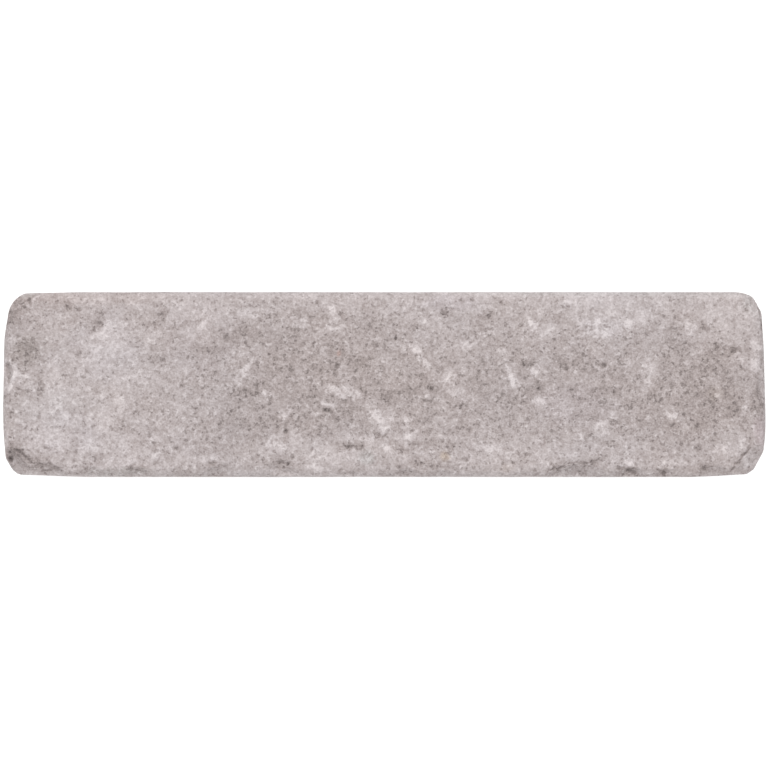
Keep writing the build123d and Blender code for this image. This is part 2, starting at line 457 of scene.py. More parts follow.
# pits: air holes and plucked grains, (x, y) in pixels of the photograph, radius and depth in mm
PITS = [
    (10.7, 459, 1.00, 0.90), (7.2, 365, 0.60, 0.40), (4.5, 397, 0.60, 0.40), (11.5, 412, 0.55, 0.35),
    (30, 298.5, 0.55, 0.35), (21, 309, 0.60, 0.40), (10, 312, 0.60, 0.35), (41, 300, 0.45, 0.25),
    (57, 301.5, 0.55, 0.35), (79, 310, 0.75, 0.50), (100, 323, 0.70, 0.40), (96, 321, 0.50, 0.30),
    (94.5, 426, 0.60, 0.40), (85, 433, 0.45, 0.25), (77, 433, 0.45, 0.25), (149, 437, 0.55, 0.35),
    (176, 448, 0.70, 0.50), (181, 386, 0.60, 0.40), (163.5, 360, 0.75, 0.45), (158, 362, 0.45, 0.30),
    (286, 431, 0.70, 0.50), (280, 462, 0.60, 0.45), (288, 463.5, 0.60, 0.45), (271, 459, 0.50, 0.30),
    (379, 435, 0.75, 0.55), (385.5, 434.5, 0.50, 0.35), (431, 389, 0.80, 0.40), (467, 460, 0.55, 0.40),
    (526, 454, 0.75, 0.45), (524, 365, 0.65, 0.45), (532, 366, 0.60, 0.40), (445, 313, 0.95, 0.40),
    (489, 316, 0.95, 0.40), (472, 300, 0.70, 0.40), (501, 303, 0.75, 0.40), (495, 298, 0.60, 0.30),
    (605.5, 326.5, 0.50, 0.40), (610, 327.5, 0.50, 0.40), (604, 365, 0.80, 0.45), (566, 369, 0.75, 0.40),
    (594, 391, 0.65, 0.45), (614, 391.5, 0.60, 0.45), (704, 328, 0.65, 0.45), (707.5, 331, 0.50, 0.30),
    (717, 347, 0.65, 0.45), (734, 350, 0.90, 0.45), (699, 449, 0.60, 0.35), (628, 470, 0.95, 0.55),
    (634, 472.5, 0.80, 0.45), (622, 468, 0.60, 0.35), (664, 473, 0.85, 0.45), (704, 468, 0.95, 0.40),
    (640, 392, 0.50, 0.30), (685, 343, 0.60, 0.35), (538, 389, 0.60, 0.35), (455, 407, 0.60, 0.25),
    (245, 299, 0.50, 0.30), (174, 297.4, 0.60, 0.35), (181, 301, 0.50, 0.30), (317, 302, 0.60, 0.40),
    (555, 297, 0.45, 0.25), (747, 304.5, 0.50, 0.45), (743, 311, 0.45, 0.30), (286.5, 449, 0.40, 0.25),
    (312, 449, 0.60, 0.30), (409, 394, 0.50, 0.30), (404, 356, 0.55, 0.25), (396, 339, 0.75, 0.25),
]
# painted shade in the pits: pit holds how dark each one is painted, while dent also sinks the surface there
pit = np.zeros(count)  # how far each point is inside a pit, for its darkness
# the least ones only show as dark points
POINTS = [
    (17, 301), (22, 303), (28, 300), (36, 301), (46, 303), (58, 302), (79, 309), (86, 325), (75, 332), (98, 321),
    (45, 317), (60, 326), (172, 297), (177, 299), (183, 300), (173, 329), (152, 338), (161, 341), (157, 361),
    (163, 360), (165, 362), (172, 376), (181, 387), (184, 353), (81, 407), (87, 407), (95, 425), (92, 428),
    (76, 432), (84, 433), (115, 428), (149, 437), (151, 436), (141, 446), (175, 447), (59, 372), (126, 362),
    (205, 306), (199, 345), (224, 349), (208, 351), (229, 339), (246, 326), (284, 326), (300, 311), (307, 315),
    (296, 305), (312, 303), (317, 303), (363, 306), (289, 336), (313, 365), (317, 371), (308, 362), (336, 349),
    (292, 416), (287, 432), (281, 438), (257, 449), (312, 449), (235, 392), (227, 411), (379, 434), (376, 439),
    (352, 417), (332, 409), (349, 446), (355, 447), (360, 360), (350, 391), (383, 437), (392, 340), (405, 354),
    (391, 393), (409, 392), (410, 388), (431, 388), (434, 386), (447, 309), (484, 314), (490, 316), (471, 299),
    (493, 297), (501, 302), (447, 431), (444, 432), (453, 433), (466, 459), (459, 465), (487, 436), (516, 427),
    (523, 364), (532, 365), (538, 367), (538, 388), (529, 390), (560, 366), (566, 368), (521, 440), (524, 453),
    (555, 340), (587, 364), (604, 365), (583, 386), (595, 391), (613, 391), (605, 325), (609, 327), (612, 322),
    (600, 330), (651, 315), (616, 346), (684, 343), (680, 345), (704, 324), (708, 330), (702, 322), (716, 347),
    (713, 350), (732, 348), (737, 351), (723, 377), (724, 370), (683, 389), (638, 399), (645, 408), (659, 402),
    (617, 423), (621, 428), (701, 411), (728, 407), (733, 403), (748, 410), (751, 409), (657, 443), (697, 448),
    (625, 467), (632, 470), (667, 473), (586, 456), (592, 461), (602, 461), (590, 447), (742, 305), (747, 310),
    (759, 320), (761, 326), (744, 318), (718, 302), (693, 299), (664, 300), (751, 396), (714, 399), (671, 387),
]


def dent(x, y, radius, depth):
    global V
    d = np.hypot(V[:, 0] - x, V[:, 1] - y) * (1 + 0.25 * breakage)
    dip = 1 - smooth(0.25 * radius, 1.25 * radius, d)
    V[:, 2] -= dip * depth * level_top
    np.maximum(pit, dip * level_top * min(1.6, max(min(1.0, depth / 0.4), depth / 0.5)), out=pit)


for x, y, radius, depth in PITS:
    dent(*px_to_mm(x, y), radius, depth)
for x, y in POINTS:
    dent(*px_to_mm(x, y), rng.uniform(0.36, 0.50), rng.uniform(0.18, 0.34))
for _ in range(60):  # and a few more, everywhere
    dent(
        rng.uniform(-L + 2, L - 2),
        rng.uniform(-W + 1.5, W - 1.5),
        rng.uniform(0.35, 0.6),
        rng.uniform(0.08, 0.26),
    )

# air holes in the moulded faces, which the photograph doesn't show
side_points = np.where((np.abs(N0[:, 2]) < 0.2) & (V[:, 2] > 4) & (V[:, 2] < H - 5))[0]
# painted shade in these air holes: hole holds how dark each is painted, while the surface is also sunk
hole = np.zeros(count)
for v in rng.choice(side_points, 120, replace=False):
    radius = 0.8 + 1.5 * rng.random() ** 3
    d = np.linalg.norm(V - V[v], axis=1)
    dip = 1 - smooth(0.3 * radius, 1.2 * radius, d)
    hit = dip > 0
    V[hit] -= N1[hit] * (dip[hit] * radius * rng.uniform(0.25, 0.5))[:, None]
    np.maximum(hole, dip * min(1.0, radius / 1.6), out=hole)

# nothing may stand out of the CAD part's box
V[:, 0] = np.clip(V[:, 0], -99.99, 99.99)
V[:, 1] = np.clip(V[:, 1], -W, W)
V[:, 2] = np.clip(V[:, 2], 0.0, H)
# the bed face carries the paver, so its highest points touch the floor
V[:, 2] -= V[:, 2].min()

# ---------------------------------------------------------------------------------------------
# Tone: where the concrete is paler or darker, and where light and shade are painted on it, read off the photograph.
# Each mark is an oval (x, y, half width, half height, turn in degrees, paler or darker), in the photograph's pixels.
# ---------------------------------------------------------------------------------------------
BROAD = [
    (90, 370, 75, 90, 0, 6), (75, 425, 60, 35, 0, 4), (120, 350, 40, 40, 0, 4), (270, 390, 90, 75, 0, -8),
    (385, 370, 60, 60, 0, -5), (340, 352, 34, 30, 0, -7), (222, 335, 30, 20, 0, -5), (160, 400, 40, 60, 0, 0), (250, 415, 55, 35, 0, 0), (640, 395, 150, 70, 0, -6),
    (715, 388, 50, 45, 0, -6), (520, 380, 60, 60, 0, -3), (350, 406, 42, 24, 0, -8), (197, 390, 42, 75, 0, 4), (120, 312, 48, 15, 0, -4), (572, 405, 38, 22, 0, 3), (425, 398, 42, 34, 0, -4),
    (727, 408, 34, 22, 0, -7), (272, 360, 48, 24, 0, -3), (425, 362, 36, 16, 0, -2), (500, 452, 46, 16, 0, -3),
    (250, 320, 46, 18, 0, -2), (350, 316, 42, 18, 0, -3), (572, 318, 32, 18, 0, -2), (210, 312, 60, 14, 0, 6), (400, 305, 90, 14, 0, 4),
    (620, 308, 110, 16, 0, 7), (330, 455, 80, 14, 0, 7), (520, 452, 90, 16, 0, 7), (742, 325, 30, 32, 0, 8),
    (610, 445, 60, 20, 0, 4), (150, 450, 60, 18, 0, 5), (735, 440, 28, 22, 0, 4), (430, 330, 40, 25, 0, 2),
]
MARKS = [
    # the left end and its dish
    # painted shade on the front left break: the five marks here and (60, 469) on the next line
    (11, 451, 11, 8, 20, -15), (18, 455.5, 10, 5, -20, -17), (14, 451, 9, 5, 15, -7), (30, 460, 20, 6, -28, -9), (40, 466, 20, 6, -14, -9),
    (60, 469, 10, 4, -12, -7), (11, 320, 13, 13, 0, -15),
    # (29, 351) and (17, 356) darker are painted shade on the upper side of the dish at the left end
    (21, 306, 11, 7, 0, -14), (14, 316, 10, 12, 0, -6), (70, 306, 15, 6, 0, -5), (29, 351, 15, 17, 0, -21), (30, 344, 9, 9, 0, -2), (17, 356, 8, 6, 0, -8),
    # (15.5, 375), (11, 384) and (25, 377) paler are painted highlight on the dish's lower lip
    (15.5, 375, 4.5, 6, 0, 16), (11, 384, 3.5, 8, -25, 14), (25, 377, 8, 3, -20, 7), (4, 362, 3, 11, 0, 9),
    # (8, 374) darker is painted shade in the dish
    (8, 433, 3, 9, -20, 9), (20, 385, 6, 6, 0, 3), (8, 374, 2.2, 9, 0, -8), (42, 388, 6, 18, 0, -13),
    (8, 398, 9, 7, 0, -10), (10, 413, 7, 6, 0, -8), (67, 306, 14, 8, 0, -13), (90, 326, 13, 8, 0, -8),
    (100, 323, 6, 8, 0, -14),
    # the pale bloom
    (105, 338, 22, 20, 0, 5), (125, 346, 14, 15, 0, 4), (94, 362, 12, 16, 0, 4), (53, 368, 9, 16, 0, 6),
    (56, 390, 14, 14, 0, 6), (63, 409, 8, 16, 8, 3), (30, 408, 18, 12, 0, 5), (47, 438, 24, 14, 20, 9),
    (121, 402, 9, 10, 40, 7), (92, 420, 13, 7, -15, 7), (106, 428, 22, 12, 0, 5), (90, 447, 20, 8, 0, 7),
    (83, 410, 7, 10, 0, -9), (82, 428, 5, 12, 0, -6), (122, 429, 13, 7, 0, -12), (95, 427, 6, 7, 0, -7),
    (134, 405, 8, 9, 0, -8), (147, 405, 10, 6, 0, -7), (136, 388, 9, 7, 0, -7), (100, 456, 11, 5, 0, -11),
    (143, 446, 6, 7, 0, -11), (152, 455, 11, 10, 0, 7), (125, 462, 15, 7, 0, 8), (161, 465, 10, 9, 0, 8),
    (162, 313, 11, 9, 35, -9), (157, 357, 13, 7, 10, -11), (155, 337, 9, 7, 0, 8), (204, 324, 7, 15, -5, 11),
    (192, 331, 7, 7, 0, 11), (251, 315, 14, 6, 0, 9), (175, 305, 13, 6, 0, 8), (172, 335, 9, 13, 0, -6),
    (150, 325, 11, 7, 0, -6), (155, 410, 5, 10, 0, -7), (171, 455, 5, 9, 0, -8), (176, 448, 4, 5, 0, -13),
    # the dark middle left
    (205, 351, 14, 7, 0, -9), (224, 348, 6, 6, 0, -9), (240, 336, 17, 8, 15, -11), (245, 391, 11, 6, 0, -8),
    (233, 404, 9, 10, 0, -6), (235, 417, 8, 7, 0, -5), (247, 368, 4.5, 13, -22, 15), (235, 382, 9, 7, 20, 9),
    (245, 350, 9, 9, 0, 6), (228, 360, 10, 7, 0, 5), (230, 432, 32, 14, 0, -3), (270, 372, 9, 7, 0, -8),
    (273, 418, 8, 7, 0, -12), (283, 418, 6, 8, -10, 13), (276, 444, 14, 9, -30, 16), (293, 446, 9, 8, 0, 5), (266, 451, 9, 8, 0, 8),
    (297, 439, 9, 8, 0, 9), (300, 314, 9, 8, 0, -8), (331, 310, 6, 8, 0, 15), (327, 321, 6, 6, 0, 7),
    (333, 329, 16, 3.5, 12, 11), (302, 325, 9, 5, 0, 8), (338, 352, 7, 5, -25, -11), (314, 366, 9, 9, 0, -8),
    (325, 357, 5, 10, 0, 10), (342, 370, 5, 5, 0, 9), (309, 378, 9, 5, 0, 8), (268, 393, 11, 8, 0, 5),
    (330, 388, 9, 6, 0, 14), (346, 391, 14, 8, 0, 13), (357, 396, 8, 7, 0, 11), (326, 403, 12, 3.2, -16, 10),
    (328, 410, 9, 4, -18, -13), (350, 411, 13, 8, 0, -8), (295, 421, 12, 8, 0, -8), (351, 446, 12, 4, 0, -14),
    (281, 461, 16, 9, 0, -10), (322, 456, 16, 8, 0, 7), (315, 466, 9, 6, 0, 9), (350, 435, 8, 6, 0, 10),
    # the pale cluster in the middle
    (370, 406, 6, 9, 40, 6), (376, 417, 10, 8, 0, 15), (384, 427, 9, 11, 15, 15), (396, 416, 12, 8, 0, 8),
    (406, 423, 9, 8, 0, 10), (411, 435, 11, 6, 25, 12), (388, 448, 6, 6, 0, 16), (387, 399, 11, 9, -30, -9),
    (392, 393, 7, 6, 0, -8), (372, 366, 5, 10, -18, 8), (379, 357, 5, 6, 0, 7), (395, 345, 8, 5, 0, 10),
    (411, 348, 11, 5, -10, 12), (418, 354, 8, 5, -40, 10), (425, 364, 10, 3.5, -42, 20), (405, 355, 7, 6, 0, -10),
    (395, 338, 9, 4, 0, -11), (365, 325, 14, 9, 0, -7), (410, 331, 13, 7, 0, -7), (430, 389, 6, 5, 0, -12),
    (409, 393, 6, 5, 0, -9), (425, 444, 14, 4, 8, -10), (405, 448, 9, 4, 15, -10), (431, 433, 7, 9, 0, -11),
    (450, 444, 8, 6, 0, -9), (449, 377, 7, 8, 0, 12), (458, 391, 13, 5, 0, 9), (430, 453, 13, 5, 0, 8),
    (445, 314, 6, 8, 0, -13), (486, 316, 9, 4, 0, -11), (425, 330, 9, 14, 0, 6), (465, 345, 9, 7, 0, 6),
    (400, 470, 15, 6, 0, -14), (424, 464, 17, 7, 0, -9), (355, 472, 9, 4, 0, -8), (470, 430, 15, 4, -35, -9),
    (486, 425, 6, 10, 30, 9), (455, 406, 9, 7, 0, -9), (480, 383, 10, 13, 0, -6), (495, 343, 12, 4, -12, -12),
    # right of the middle
    (500, 353, 9, 7, 0, 9), (507, 368, 5, 13, 18, 13), (513, 381, 8, 8, 0, 12), (530, 321, 5, 9, 35, 12),
    (548, 328, 10, 9, 0, 8), (534, 372, 6, 8, -15, 10), (541, 364, 6, 6, 0, 8), (524, 365, 6, 5, 0, -7),
    (532, 365, 4, 4, 0, -6), (538, 388, 6, 6, 0, -10), (529, 393, 6, 5, 0, -9), (512, 398, 10, 6, 0, -9),
    (539, 404, 10, 6, -30, 9), (556, 390, 11, 5, 0, 6), (560, 366, 12, 7, -32, -12), (492, 448, 15, 6, 5, 6),
    (525, 454, 5, 5, 0, -14), (573, 455, 9, 7, 0, 7), (562, 415, 8, 9, 0, 6), (602, 427, 10, 10, 0, 12),
    (609, 419, 14, 4, 8, 7), (615, 422, 10, 4, -8, -12), (598, 324, 11, 8, 0, 8), (598, 334, 17, 4.5, 0, 9), (612, 328, 24, 12, 0, 7),
    (583, 326, 9, 9, 0, 7), (612, 330, 7, 8, 0, 8), (630, 325, 6, 7, 0, 13), (642, 318, 6, 10, 0, 10),
    (665, 325, 7, 6, 0, 10), (689, 328, 7, 9, 0, 13), (700, 327, 6, 4, -30, -12), (715, 318, 10, 11, 0, 8),
    (604, 365, 5, 4, 0, -9), (618, 361, 5, 7, 0, -8), (617, 351, 6, 4, 0, 9), (649, 370, 10, 16, 0, 11),
    (630, 373, 5, 12, 8, 7), (645, 388, 6, 9, -30, 8), (656, 386, 7, 6, 0, -10), (657, 398, 9, 6, 0, -11),
    (615, 391, 7, 5, 0, -9), (595, 391, 6, 5, 0, -9), (637, 402, 11, 9, 0, -6), (671, 413, 7, 9, 0, 16),
    (638, 423, 6, 6, 0, -9), (654, 440, 8, 6, -20, -9), (671, 427, 8, 7, 0, -7), (630, 452, 11, 14, 0, 9),
    (677, 388, 6, 8, 0, 9), (710, 361, 17, 13, 0, -9), (716, 347, 6, 6, 0, -8), (734, 349, 6, 5, 0, -10),
    (727, 388, 7, 14, -12, -11), (733, 406, 7, 8, 0, -11), (692, 410, 12, 15, 0, -6), (700, 423, 14, 5, 0, -9),
    (699, 449, 5, 7, 0, -14), (719, 393, 6, 8, 0, 9), (743, 408, 4, 13, -15, 8), (751, 390, 6, 7, 0, 8),
    # the right end
    (757, 396, 6, 17, 0, -14), (761, 412, 6, 12, 0, -10), (755, 363, 7, 8, 0, 6), (748, 366, 15, 13, 0, 7), (738, 357, 9, 5, 0, 8),
    (763, 320, 4, 9, 0, -12), (728, 450, 12, 7, -15, 10), (742, 446, 10, 5, -30, 6), (733, 432, 12, 14, 0, 4),
    # the worn front edge: its darker marks are painted shade in the knocks and creases along it, and (750, 462)
    # paler is painted light on the facet of the front right break
    (135, 467, 15, 9, 10, -12), (115, 472, 8, 5, 0, -11), (88, 468, 13, 7, 0, -8), (214, 468, 13, 9, 0, -10),
    (188, 472, 17, 4, 0, -12), (533, 474, 7, 4, 0, -9), (555, 468, 12, 6, 20, -13), (574, 467, 9, 6, 0, -8),
    (589, 466, 13, 7, 45, -11), (598, 458, 9, 6, 30, -10), (629, 470, 12, 5, -28, -15), (661, 473, 11, 5, 0, -12),
    (704, 467, 14, 7, 5, -11), (735, 463, 5, 8, 20, -6), (743, 452, 9, 3, 48, -9), (750, 462, 10, 10, 45, 10), (445, 468, 14, 6, 0, -6),
    (476, 468, 13, 6, 0, -6), (510, 455, 14, 6, 0, 4), (235, 464, 11, 7, 0, 6), (670, 462, 15, 5, 0, 6),
    # fainter ones, from left to right
    # (30, 361) is more painted shade in the dish, and (14, 436) here and (30, 446) on the next line are painted
    # shadow along the crease above the front left break
    (17, 308, 12, 10, 0, -6), (68, 307, 14, 7, 0, -5), (30, 361, 12, 9, 0, -7), (14, 436, 10, 6, -40, -8),
    (30, 446, 12, 4, -35, -6), (57, 450, 9, 7, 0, 7), (80, 417, 6, 5, 0, -6), (12, 412, 6, 6, 0, 6),
    (98, 303, 6, 7, 0, 6), (87, 368, 7, 6, 0, 4), (79, 351, 6, 5, 0, 4), (146, 354, 8, 8, 0, -6),
    (190, 352, 14, 14, 0, -4), (150, 395, 18, 14, 0, -4), (147, 440, 8, 8, 0, 7), (164, 412, 7, 6, 0, 7),
    (283, 338, 22, 14, 0, -6), (262, 345, 10, 10, 0, -5), (250, 323, 9, 8, 0, -6), (212, 424, 18, 12, 0, -6),
    (242, 430, 10, 10, 0, -6), (284, 430, 5, 7, 0, -8), (372, 438, 9, 6, 0, 9), (352, 433, 6, 5, 0, 6),
    (286, 417, 6, 5, 0, 8), (306, 372, 6, 9, 0, 8), (340, 396, 6, 4, 0, 5), (262, 312, 8, 5, 0, 7),
    (208, 458, 14, 6, 0, 6), (288, 466, 14, 5, 0, -7), (330, 468, 8, 4, 0, -6), (302, 352, 9, 8, 0, -5),
    (375, 352, 9, 7, 0, -7), (283, 386, 9, 7, 0, -4), (371, 343, 9, 4, 0, 6), (290, 396, 8, 6, 0, -4),
    (408, 330, 14, 8, 0, -6), (396, 404, 6, 5, 0, -9), (430, 350, 6, 6, 0, 5), (423, 320, 5, 12, 0, 6),
    (455, 325, 6, 8, 0, 6), (492, 309, 6, 5, 0, 6), (505, 332, 5, 7, 0, 6), (432, 313, 6, 7, 0, -5),
    (480, 333, 10, 8, 0, -5), (472, 394, 8, 8, 0, -7), (470, 420, 9, 7, 0, -7), (406, 433, 6, 5, 0, -8),
    (452, 432, 12, 9, 0, -6), (428, 450, 7, 5, 0, -6), (498, 464, 16, 6, 0, -6), (472, 460, 9, 5, 0, -5),
    (524, 410, 5, 8, 0, 6), (557, 408, 5, 8, 0, 6), (549, 414, 5, 5, 0, -6), (573, 438, 6, 9, 0, 6),
    (580, 302, 24, 4, 0, 5), (650, 314, 10, 5, 0, -6), (731, 325, 6, 10, 0, -6), (668, 381, 9, 10, 0, 8),
    (598, 389, 7, 9, 0, 7), (741, 362, 6, 6, 0, 6), (757, 350, 5, 12, 0, 6), (762, 376, 4, 5, 0, 6),
    (713, 350, 5, 5, 0, 5), (656, 433, 13, 10, 0, -8), (736, 424, 13, 8, 0, -5), (750, 386, 7, 9, 0, -5),
    (629, 464, 10, 5, 0, 8), (665, 466, 9, 4, 0, 6), (742, 408, 6, 5, 0, 6), (672, 421, 7, 5, 0, 5),
    (712, 326, 7, 5, 0, 5), (340, 344, 9, 5, 0, 5), (328, 318, 7, 4, 0, -3), (345, 375, 9, 6, 0, 4),
    # (10.5, 458.5) and (15, 454) are painted shade in the deep hole and on the front left break
    (10.5, 458.5, 3, 2.4, -30, -20), (15, 454, 8, 5, 0, -4), (617, 463, 8, 6, 0, 8), (634, 465, 8, 5, 0, 9),
    (197, 317, 12, 4, 0, 6), (236, 318, 8, 7, 0, 5), (55, 338, 18, 5, 0, 4), (190, 347, 6, 9, 0, 5),
    (30, 388, 10, 8, 0, 5), (15, 409, 7, 6, 0, 5), (60, 447, 9, 5, -25, 5), (20, 448, 6, 3, 0, 8),
    (235, 352, 8, 9, 0, 4), (52, 383, 5, 5, 0, 4), (738, 408, 7, 5, 0, 6), (476, 442, 6, 10, 20, 5),
    (512, 461, 10, 5, 0, 5), (756, 349, 6, 8, 0, 5), (567, 303, 6, 4, 0, 5), (590, 306, 14, 3, 0, 5),
    (603, 317, 12, 5, 0, -5), (606, 296, 8, 4, 0, -5), (280, 440, 8, 8, 0, -4), (198, 300, 8, 5, 0, -4), (70, 328, 6, 10, 0, 5), (151, 440, 8, 9, 0, 5), (62, 450, 6, 6, 0, 4), (145, 373, 20, 4, -15, 6),
    (17, 412, 5, 6, 0, 5), (13, 305, 5, 6, 0, 7), (156, 457, 8, 5, 0, -6), (185, 335, 9, 9, 0, -5),
    (106, 322, 5, 6, 0, -4), (180, 307, 8, 6, 0, -6), (46, 312, 9, 6, 0, -4), (10, 429, 5, 6, 0, -5),
    (330, 303, 8, 4, 0, -7), (303, 318, 6, 6, 0, -5), (307, 308, 6, 4, 0, -4), (373, 412, 6, 5, 0, -5),
    (348, 429, 6, 6, 0, -6), (313, 448, 5, 5, 0, -6), (333, 469, 6, 4, 0, -5), (326, 323, 6, 5, 0, 6),
    (325, 343, 5, 7, 0, 4), (340, 397, 7, 4, 0, 6), (285, 419, 6, 5, 0, 5), (372, 345, 10, 3, 0, 4),
    (223, 463, 14, 4, -15, 5), (309, 378, 5, 4, 0, 5), (240, 326, 6, 6, 0, 4), (235, 361, 7, 5, 0, 4),
    (366, 439, 9, 5, 0, 5), (358, 355, 5, 5, 0, 5), (338, 370, 5, 5, 0, 5), (558, 460, 9, 5, 0, -8),
    (402, 463, 5, 7, 0, -7), (473, 462, 6, 4, 0, -5), (470, 420, 7, 5, 0, -4), (455, 462, 6, 4, 0, -4),
    (431, 309, 7, 5, 0, -5), (413, 310, 4, 4, 0, -5), (529, 299, 6, 4, 0, 7), (432, 356, 5, 5, 0, 6),
    (419, 326, 5, 6, 0, 5), (524, 420, 6, 5, 0, 5), (530, 383, 12, 5, 0, 5), (418, 399, 14, 4, 0, 5),
    (547, 369, 6, 4, 0, 6), (501, 358, 6, 5, 0, 4), (405, 420, 9, 4, 0, 5), (605, 302, 9, 5, 0, -5),
    (585, 297, 9, 4, 0, -4), (650, 313, 8, 4, 0, -4), (646, 438, 9, 7, 0, -5), (648, 466, 7, 4, 0, -5),
    (690, 440, 10, 7, 0, -4), (747, 436, 6, 6, 0, -6), (712, 372, 8, 6, 0, -5), (731, 306, 9, 10, 0, -4),
    (628, 466, 11, 4, 0, 8), (742, 408, 6, 5, 0, 7), (755, 345, 6, 9, 0, 6), (762, 375, 4, 5, 0, 6),
    (670, 392, 6, 5, 0, 6), (598, 394, 6, 6, 0, 4), (745, 467, 6, 5, 0, 6), (667, 468, 8, 4, 0, 5),
    (585, 327, 6, 4, 0, 5), (672, 322, 6, 5, 0, 5),
]


# Fine strokes: points, width in mm, paler or darker
STROKES = [
    # the first two strokes are painted highlight along the lower lip of the dish at the left end
    ([(9.5, 389), (12, 380), (16.5, 371.5)], 0.42, 26), ([(16.5, 371.5), (21, 375), (31, 378)], 0.42, 34),
    ([(320, 331.5), (333, 329), (347, 324)], 0.55, 17), ([(408, 345), (418, 352)], 0.60, 16),
    ([(419, 356), (426, 363), (432, 372)], 0.55, 20), ([(392, 345), (402, 346)], 0.60, 14),
    ([(525, 316), (531, 322), (536, 330)], 0.60, 24), ([(536, 330), (546, 333), (554, 328)], 0.65, 13),
    ([(533, 400), (541, 401), (547, 408)], 0.55, 24), ([(322, 401), (328, 404), (334, 406)], 0.45, 17),
    ([(252, 361), (246, 370), (241, 384)], 0.55, 15), ([(328, 386), (345, 389), (358, 396)], 0.75, 13),
    ([(366, 402), (374, 414), (383, 428)], 1.10, 10), ([(407, 438), (418, 430)], 0.75, 12),
    ([(505, 364), (510, 374), (512, 385)], 0.80, 9), ([(575, 335), (590, 336), (606, 338)], 0.60, 17),
    ([(577, 321), (590, 323), (604, 319)], 0.70, 12), ([(624, 321), (644, 321)], 0.65, 15),
    ([(687, 322), (689, 335)], 0.80, 15), ([(484, 446), (493, 449), (500, 450)], 0.80, 9),
    ([(331, 308), (333, 316)], 0.75, 12), ([(534, 366), (533, 378)], 0.75, 11), ([(447, 377), (450, 387)], 0.85, 12),
    ([(448, 391), (466, 391)], 0.50, 12), ([(597, 425), (607, 421), (614, 413)], 0.55, 14),
    ([(645, 362), (652, 370), (649, 382)], 0.65, 12), ([(665, 413), (676, 417)], 0.80, 13),
    ([(202, 316), (205, 330)], 0.80, 12), ([(242, 313), (258, 316)], 0.80, 11), ([(386, 441), (387, 452)], 0.70, 13),
    ([(273, 443), (280, 447)], 0.60, 12), ([(62, 402), (64, 418)], 0.50, 6), ([(750, 355), (757, 364), (755, 372)], 0.70, 7),
    ([(717, 386), (720, 400)], 0.60, 10), ([(738, 400), (742, 413)], 0.50, 11), ([(590, 306), (600, 302)], 0.60, 9),
    ([(225, 300), (236, 297), (245, 300)], 0.45, -14), ([(292, 466), (318, 468)], 0.60, 8),
    ([(20, 303), (30, 299), (44, 300)], 0.45, -9), ([(160, 308), (166, 316)], 0.60, -9),
    ([(36, 377), (43, 386), (42, 394)], 0.60, -9), ([(98, 455), (106, 457)], 0.50, -14),
    ([(117, 429), (127, 431)], 0.55, -12), ([(73, 432), (85, 433), (94, 427)], 0.40, -9),
    ([(236, 391), (246, 391)], 0.45, -6), ([(400, 448), (414, 446), (432, 441)], 0.60, -9),
    ([(703, 333), (710, 328)], 0.50, -16), ([(730, 349), (737, 350)], 0.50, -6), ([(560, 363), (567, 366), (569, 373)], 0.60, -14),
    ([(533, 386), (541, 390)], 0.50, -8), ([(382, 395), (394, 402)], 0.50, -5), ([(443, 310), (448, 318)], 0.70, -8),
    ([(481, 315.5), (492, 317)], 0.50, -10), ([(386, 338), (403, 340)], 0.60, -9), ([(597, 464), (607, 457)], 0.60, -12),
    # painted shade along the lower rim of the front edge, here and on the next line
    ([(100, 476.5), (330, 476.8)], 0.35, -9), ([(395, 475), (440, 475.5)], 0.40, -8),
    ([(520, 475), (545, 474)], 0.45, -13), ([(615, 475), (642, 475.5)], 0.45, -10),
    # paler along the back rim, here and on the next line: partly rubbing, partly painted light on its rounding
    ([(60, 299), (120, 297), (170, 298)], 0.60, 6), ([(255, 296), (300, 298), (318, 297)], 0.60, 7),
    ([(470, 295), (560, 294), (640, 295)], 0.60, 5), ([(570, 299), (620, 301)], 0.70, 7),
    ([(205, 470), (250, 472), (310, 471)], 0.50, 7), ([(640, 465), (690, 463)], 0.60, 6),
]


def patch(marks, x, y, soft):
    """The marks' tone added up at each point, x and y in pixels."""
    total = np.zeros(len(x))
    for mx, my, rx, ry, turn, tone in marks:
        near = (np.abs(x - mx) < 1.5 * max(rx, ry)) & (np.abs(y - my) < 1.5 * max(rx, ry))
        if not near.any():
            continue
        a = math.radians(turn)
        dx, dy = x[near] - mx, my - y[near]
        u = (dx * math.cos(a) + dy * math.sin(a)) / rx
        v = (-dx * math.sin(a) + dy * math.cos(a)) / ry
        # the pale marks are crisper than the dark ones
        inner, outer = (soft + 0.25, 1.18) if tone > 0 else (soft, 1.35)
        total[near] += tone * (1 - smooth(inner, outer, np.hypot(u, v)))
    return total


def stroke_tone(x, y):
    total = np.zeros(len(x))
    for points, width, tone in STROKES:
        w = width / PX
        best = np.full(len(x), 1e9)
        for (ax, ay), (bx_, by_) in zip(points[:-1], points[1:]):
            dx, dy = bx_ - ax, by_ - ay
            t = np.clip(((x - ax) * dx + (y - ay) * dy) / (dx * dx + dy * dy), 0, 1)
            np.minimum(best, np.hypot(x - ax - t * dx, y - ay - t * dy), out=best)
        total += 0.6 * tone * np.exp(-((best / w) ** 2))
    return total


ux = V[:, 0] / PX + PX_X
uy = PX_Y - V[:, 1] / PX
flat = np.column_stack([V[:, 0], V[:, 1], np.zeros(count)])
warp_x = noise(flat, 4.2, 41) * 3.0 + noise(flat, 1.7, 42) * 4.6
warp_y = noise(flat, 4.2, 43) * 3.0 + noise(flat, 1.7, 44) * 4.6
on_face = smooth(H - 7.5, H - 3.5, V[:, 2])
tone = patch(BROAD, ux + 2 * warp_x + 11 * noise(flat, 8.0, 45), uy + 2 * warp_y + 11 * noise(flat, 8.0, 46), 0.2)
marks = patch(MARKS, ux + 0.60 * warp_x, uy + 0.60 * warp_y, 0.2)
marks += stroke_tone(ux + 0.18 * warp_x, uy + 0.18 * warp_y)
